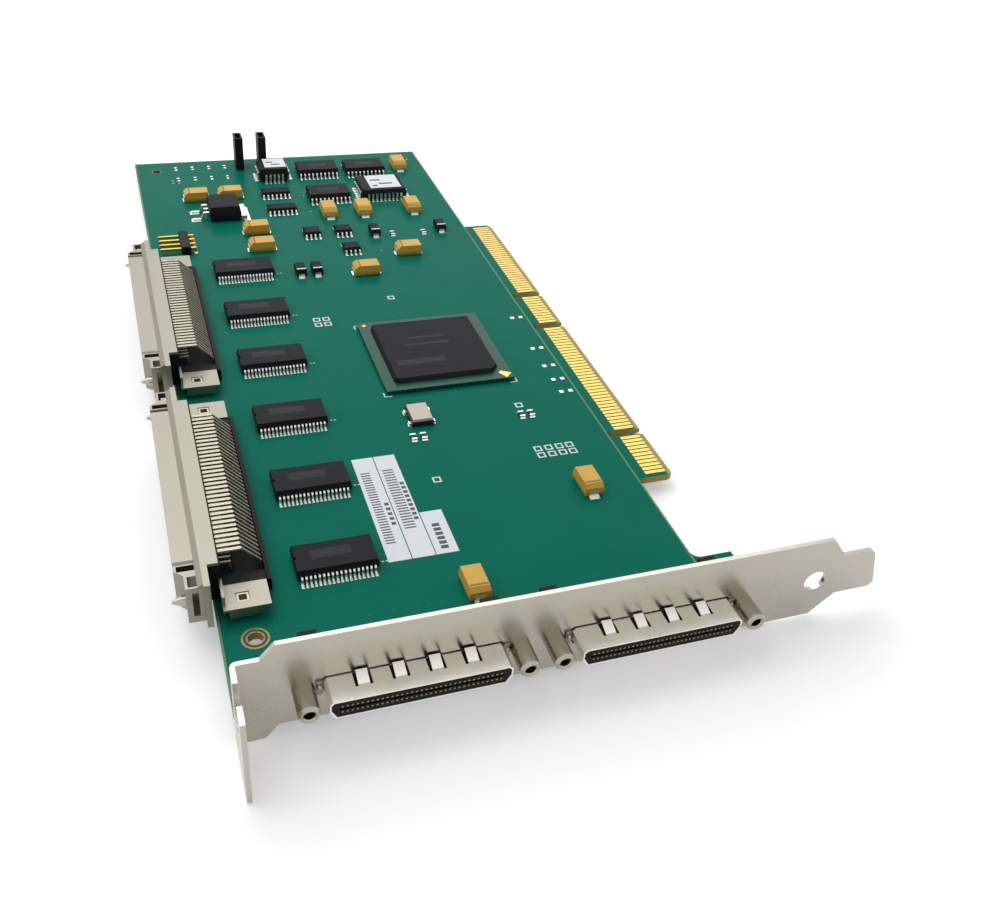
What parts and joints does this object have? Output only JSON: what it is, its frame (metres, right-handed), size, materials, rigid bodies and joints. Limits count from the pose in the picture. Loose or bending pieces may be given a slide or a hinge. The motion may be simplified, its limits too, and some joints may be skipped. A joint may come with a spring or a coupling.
{
  "type": "expansion card",
  "caption": "Expansion card for a 64-bit slot that controls disk drives, with a full-height mounting bracket, external sockets on the bracket and internal sockets on the top edge.",
  "frame": {"origin": "the edge contacts: centre of the key slot between contacts 49 and 52, on the outer edge of the fingers, half way through the board", "axes": "+X out of the card into the slot, +Y along the card away from the bracket, +Z out of the component side"},
  "size_m": [0.1269, 0.2363, 0.0213],
  "materials": {
    "solder_mask": "glossy green solder mask on glass-fibre laminate",
    "gold_plating": "gold-plated, satin",
    "nickel_sheet": "nickel-plated sheet steel, satin",
    "nickel_shell": "nickel-plated steel, satin",
    "nickel_screw": "nickel-plated, turned",
    "black_plastic": "matte moulded plastic",
    "tin_plating": "tinned, satin",
    "chip_substrate": "glossy green laminate",
    "chip_epoxy": "matte moulded epoxy",
    "label_paper": null,
    "capacitor_epoxy": "satin moulded epoxy",
    "ceramic": "fired ceramic",
    "lid_metal": "nickel-plated lid, satin"
  },
  "bodies": {
    "root": {"circuit_board": "solder_mask", "edge_fingers": "gold_plating", "bracket": "nickel_sheet", "external_shells": "nickel_shell", "external_housings": "black_plastic", "external_contacts": "gold_plating", "external_tails": "tin_plating", "jackscrews": "nickel_screw", "internal_shells": "nickel_shell", "internal_latch_blocks": "nickel_shell", "internal_guide_pins": "nickel_screw", "internal_housings": "black_plastic", "internal_upper_leads": "tin_plating", "internal_lower_leads": "tin_plating", "internal_feet": "nickel_shell", "boardlocks": "tin_plating", "controller_substrate": "chip_substrate", "controller_moulding": "chip_epoxy", "controller_balls": "tin_plating", "terminator_bodies": "chip_epoxy", "terminator_leads": "tin_plating", "logic_chip_bodies": "chip_epoxy", "logic_chip_leads": "tin_plating", "memory_chip_bodies": "chip_epoxy", "memory_chip_leads": "tin_plating", "chip_labels": "label_paper", "regulator_body": "chip_epoxy", "regulator_tab": "tin_plating", "regulator_leads": "tin_plating", "capacitor_bodies": "capacitor_epoxy", "capacitor_straps": "tin_plating", "diode_bodies": "chip_epoxy", "diode_straps": "tin_plating", "oscillator_base": "ceramic", "oscillator_lid": "lid_metal", "oscillator_leads": "tin_plating", "pin_header_body": "black_plastic", "pin_header_pins": "gold_plating", "jumper_bases": "black_plastic", "jumper_pins": "gold_plating", "jumper_caps": "black_plastic", "chip_resistors": "ceramic", "resistor_ends": "tin_plating", "board_labels": "label_paper"}
  },
  "joints": []
}
